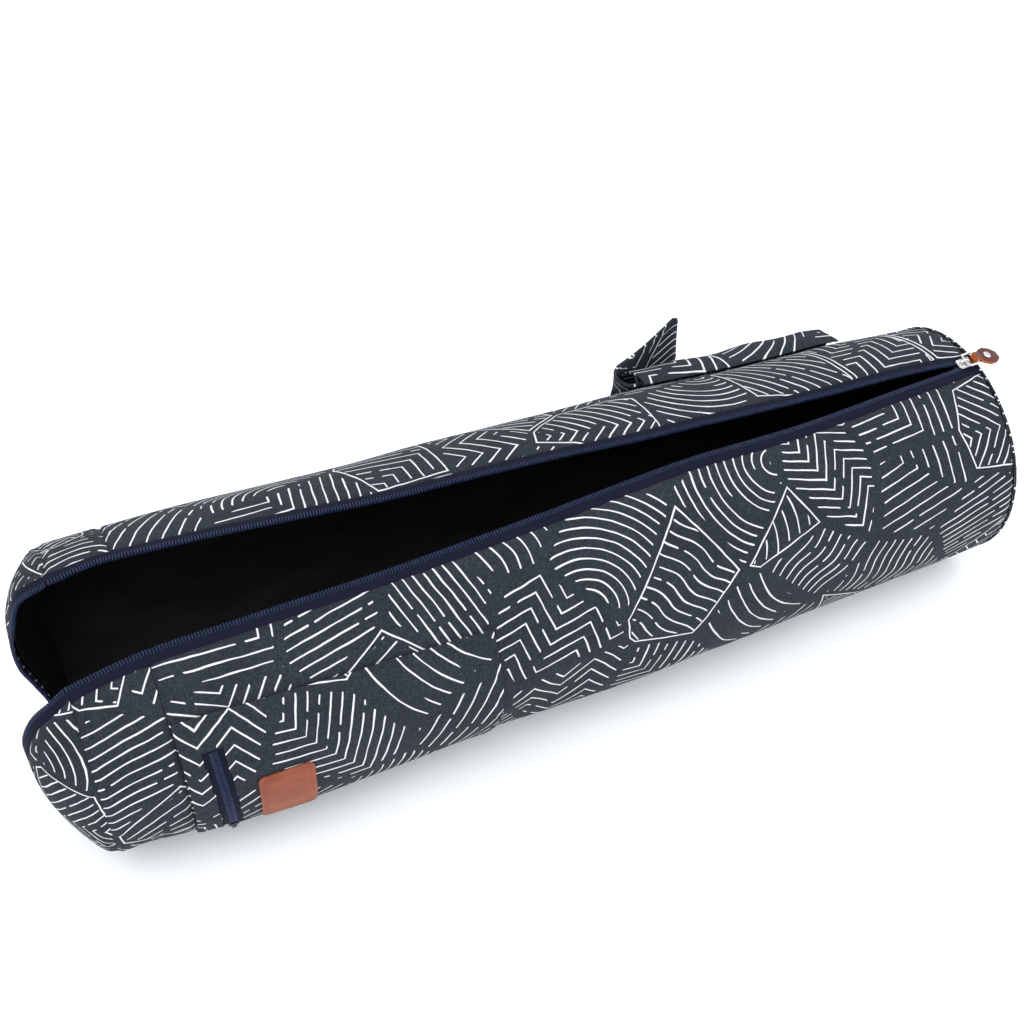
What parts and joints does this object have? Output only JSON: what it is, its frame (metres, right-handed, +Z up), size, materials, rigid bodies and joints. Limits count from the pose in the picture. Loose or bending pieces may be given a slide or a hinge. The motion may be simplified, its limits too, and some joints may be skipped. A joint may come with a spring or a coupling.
{
  "type": "yoga mat bag",
  "caption": "Tube-shaped canvas bag for a rolled yoga mat, with a long zip drawn open, a front pocket and a cloth shoulder strap.",
  "frame": {"origin": "on the floor the bag lies on, under the middle of its tube", "axes": "+X along the tube towards its closed end, +Z up, +Y towards the back where the shoulder strap is"},
  "size_m": [0.7033, 0.2663, 0.1973],
  "materials": {
    "printed_canvas": "fine plain weave, printed with white lines",
    "lining": "thin smooth weave",
    "zip_tape": "ribbed woven tape",
    "zip_coil": "nylon coil",
    "leather": "smooth tan leather",
    "metal": "polished nickel plate"
  },
  "bodies": {
    "root": {"body_panel": "printed_canvas", "band_panel": "printed_canvas", "end_cap_open": "printed_canvas", "end_cap_closed": "printed_canvas", "pocket_panel": "printed_canvas", "strap_tunnel": "printed_canvas", "shoulder_strap": "printed_canvas", "lining": "lining", "lining_end": "lining", "zip_tape_front": "zip_tape", "zip_tape_back": "zip_tape", "zip_coil_front": "zip_coil", "zip_coil_back": "zip_coil", "zip_slider": "metal", "pull_ring": "metal", "pull_tab": "leather", "pull_rivet": "metal", "pocket_zip_tape": "zip_tape", "pocket_zip_coil": "zip_coil", "pocket_slider": "metal", "leather_patch": "leather"}
  },
  "joints": []
}
